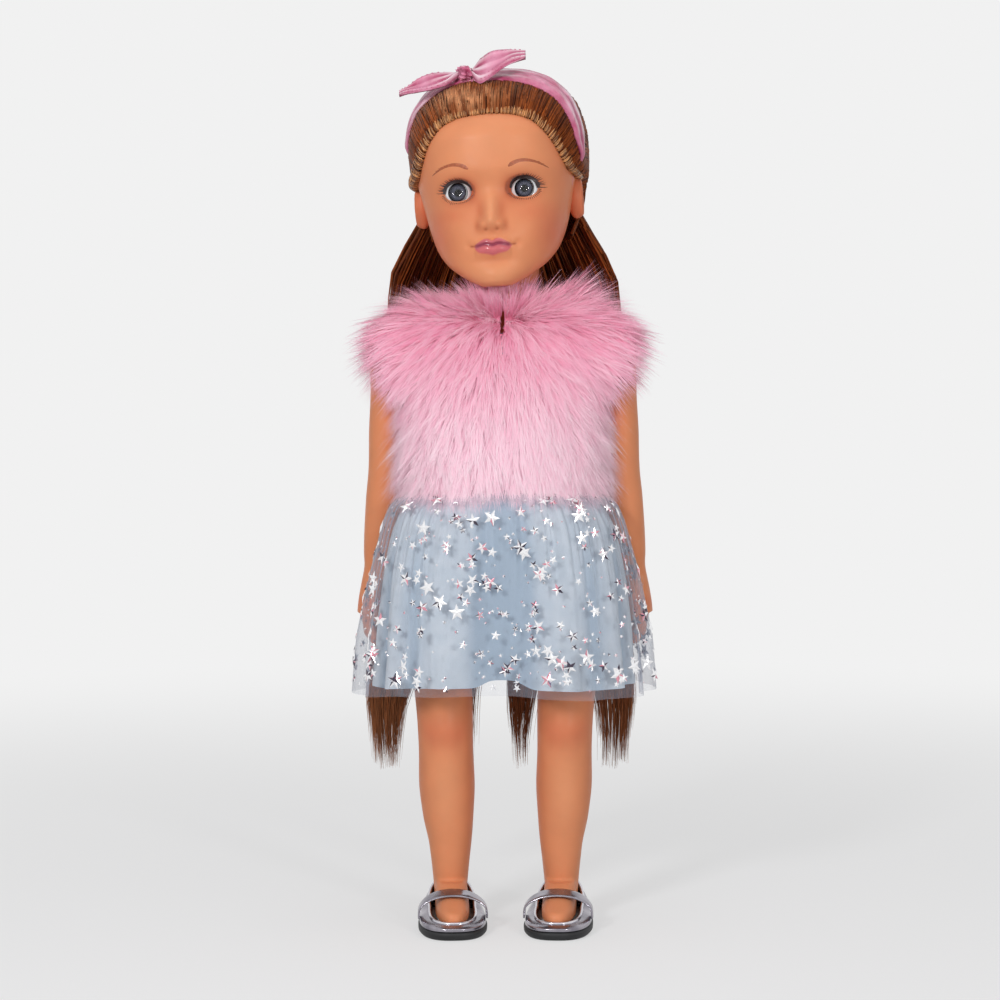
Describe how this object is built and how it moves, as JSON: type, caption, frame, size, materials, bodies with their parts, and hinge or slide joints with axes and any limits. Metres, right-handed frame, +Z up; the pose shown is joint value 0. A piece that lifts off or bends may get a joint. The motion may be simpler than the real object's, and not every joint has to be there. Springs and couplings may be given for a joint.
{
  "type": "vinyl play doll",
  "caption": "Standing dressed doll with long hair, hair bow, fur gilet, tulle skirt and strap shoes; neck, shoulders and hips turn.",
  "frame": {"origin": "on the floor, under the middle of the doll's overall box", "axes": "+Z up; the doll faces -Y; +X is the doll's own left, which is the viewer's right from the front"},
  "size_m": [0.162, 0.1192, 0.4669],
  "materials": {
    "vinyl_skin": "soft satin vinyl",
    "joint_plastic": "plain moulded",
    "brown_hair": "glossy combed fibre",
    "pink_satin": "satin ribbon",
    "pink_fur": "long pile",
    "blue_satin": "satin",
    "star_tulle": "sheer net with foil stars",
    "white_tape": "hook and loop tape",
    "eye_white": "gloss",
    "eye_iris": "printed disc",
    "eye_clear": "clear dome",
    "silver_shoe": "metallic silver coat",
    "black_sole": "matt"
  },
  "bodies": {
    "torso": {"torso_shell": "vinyl_skin", "dress_bodice": "blue_satin", "dress_waistband": "blue_satin", "dress_back_fastener": "white_tape", "skirt_lining": "blue_satin", "skirt_tulle": "star_tulle", "gilet_back": "pink_fur", "gilet_front_left": "pink_fur", "gilet_front_right": "pink_fur", "gilet_fastener": "white_tape"},
    "neck": {"neck_cup": "joint_plastic", "hair_lock_left": "brown_hair", "hair_lock_right": "brown_hair"},
    "head": {"head_shell": "vinyl_skin", "hair_cap": "brown_hair", "headband": "pink_satin", "bow_knot": "pink_satin", "bow_ear_left": "pink_satin", "bow_ear_right": "pink_satin", "eye_white_left": "eye_white", "eye_white_right": "eye_white", "eye_iris_left": "eye_iris", "eye_iris_right": "eye_iris", "eye_cornea_left": "eye_clear", "eye_cornea_right": "eye_clear", "eye_cup_left": "joint_plastic", "eye_cup_right": "joint_plastic"},
    "arm_left": {"arm_left": "vinyl_skin", "shoulder_plug_left": "joint_plastic"},
    "arm_right": {"arm_right": "vinyl_skin", "shoulder_plug_right": "joint_plastic"},
    "leg_left": {"leg_left": "vinyl_skin", "hip_plug_left": "joint_plastic", "shoe_upper_left": "silver_shoe", "shoe_sole_left": "black_sole", "shoe_insole_left": "white_tape", "shoe_strap_left": "silver_shoe"},
    "leg_right": {"leg_right": "vinyl_skin", "hip_plug_right": "joint_plastic", "shoe_upper_right": "silver_shoe", "shoe_sole_right": "black_sole", "shoe_insole_right": "white_tape", "shoe_strap_right": "silver_shoe"}
  },
  "joints": [
    {"name": "neck_turn", "type": "hinge", "parent": "torso", "child": "neck", "pos_m": [0, 0.006, 0.35], "axis": [0, 0, 1], "range_deg": [-70, 70], "deforming": ["hair_lock_left", "hair_lock_right"]},
    {"name": "neck_tilt", "type": "hinge", "parent": "neck", "child": "head", "pos_m": [0, 0.006, 0.35], "axis": [0, 1, 0], "range_deg": [-5.5, 14.5], "deforming": ["hair_lock_left", "hair_lock_right"]},
    {"name": "shoulder_left", "type": "hinge", "parent": "torso", "child": "arm_left", "pos_m": [0.0475, 0.002, 0.311], "axis": [-1, 0, 0], "range_deg": [-45, 150], "deforming": ["skirt_tulle", "skirt_lining", "hair_lock_left"]},
    {"name": "shoulder_right", "type": "hinge", "parent": "torso", "child": "arm_right", "pos_m": [-0.0475, 0.002, 0.311], "axis": [-1, 0, 0], "range_deg": [-45, 150], "deforming": ["skirt_tulle", "skirt_lining", "hair_lock_right"]},
    {"name": "hip_left", "type": "hinge", "parent": "torso", "child": "leg_left", "pos_m": [0.02, 0, 0.19], "axis": [-1, 0, 0], "range_deg": [-30, 90], "deforming": ["skirt_tulle", "skirt_lining", "hair_lock_left"]},
    {"name": "hip_right", "type": "hinge", "parent": "torso", "child": "leg_right", "pos_m": [-0.02, 0, 0.19], "axis": [-1, 0, 0], "range_deg": [-30, 90], "deforming": ["skirt_tulle", "skirt_lining", "hair_lock_right"]}
  ]
}
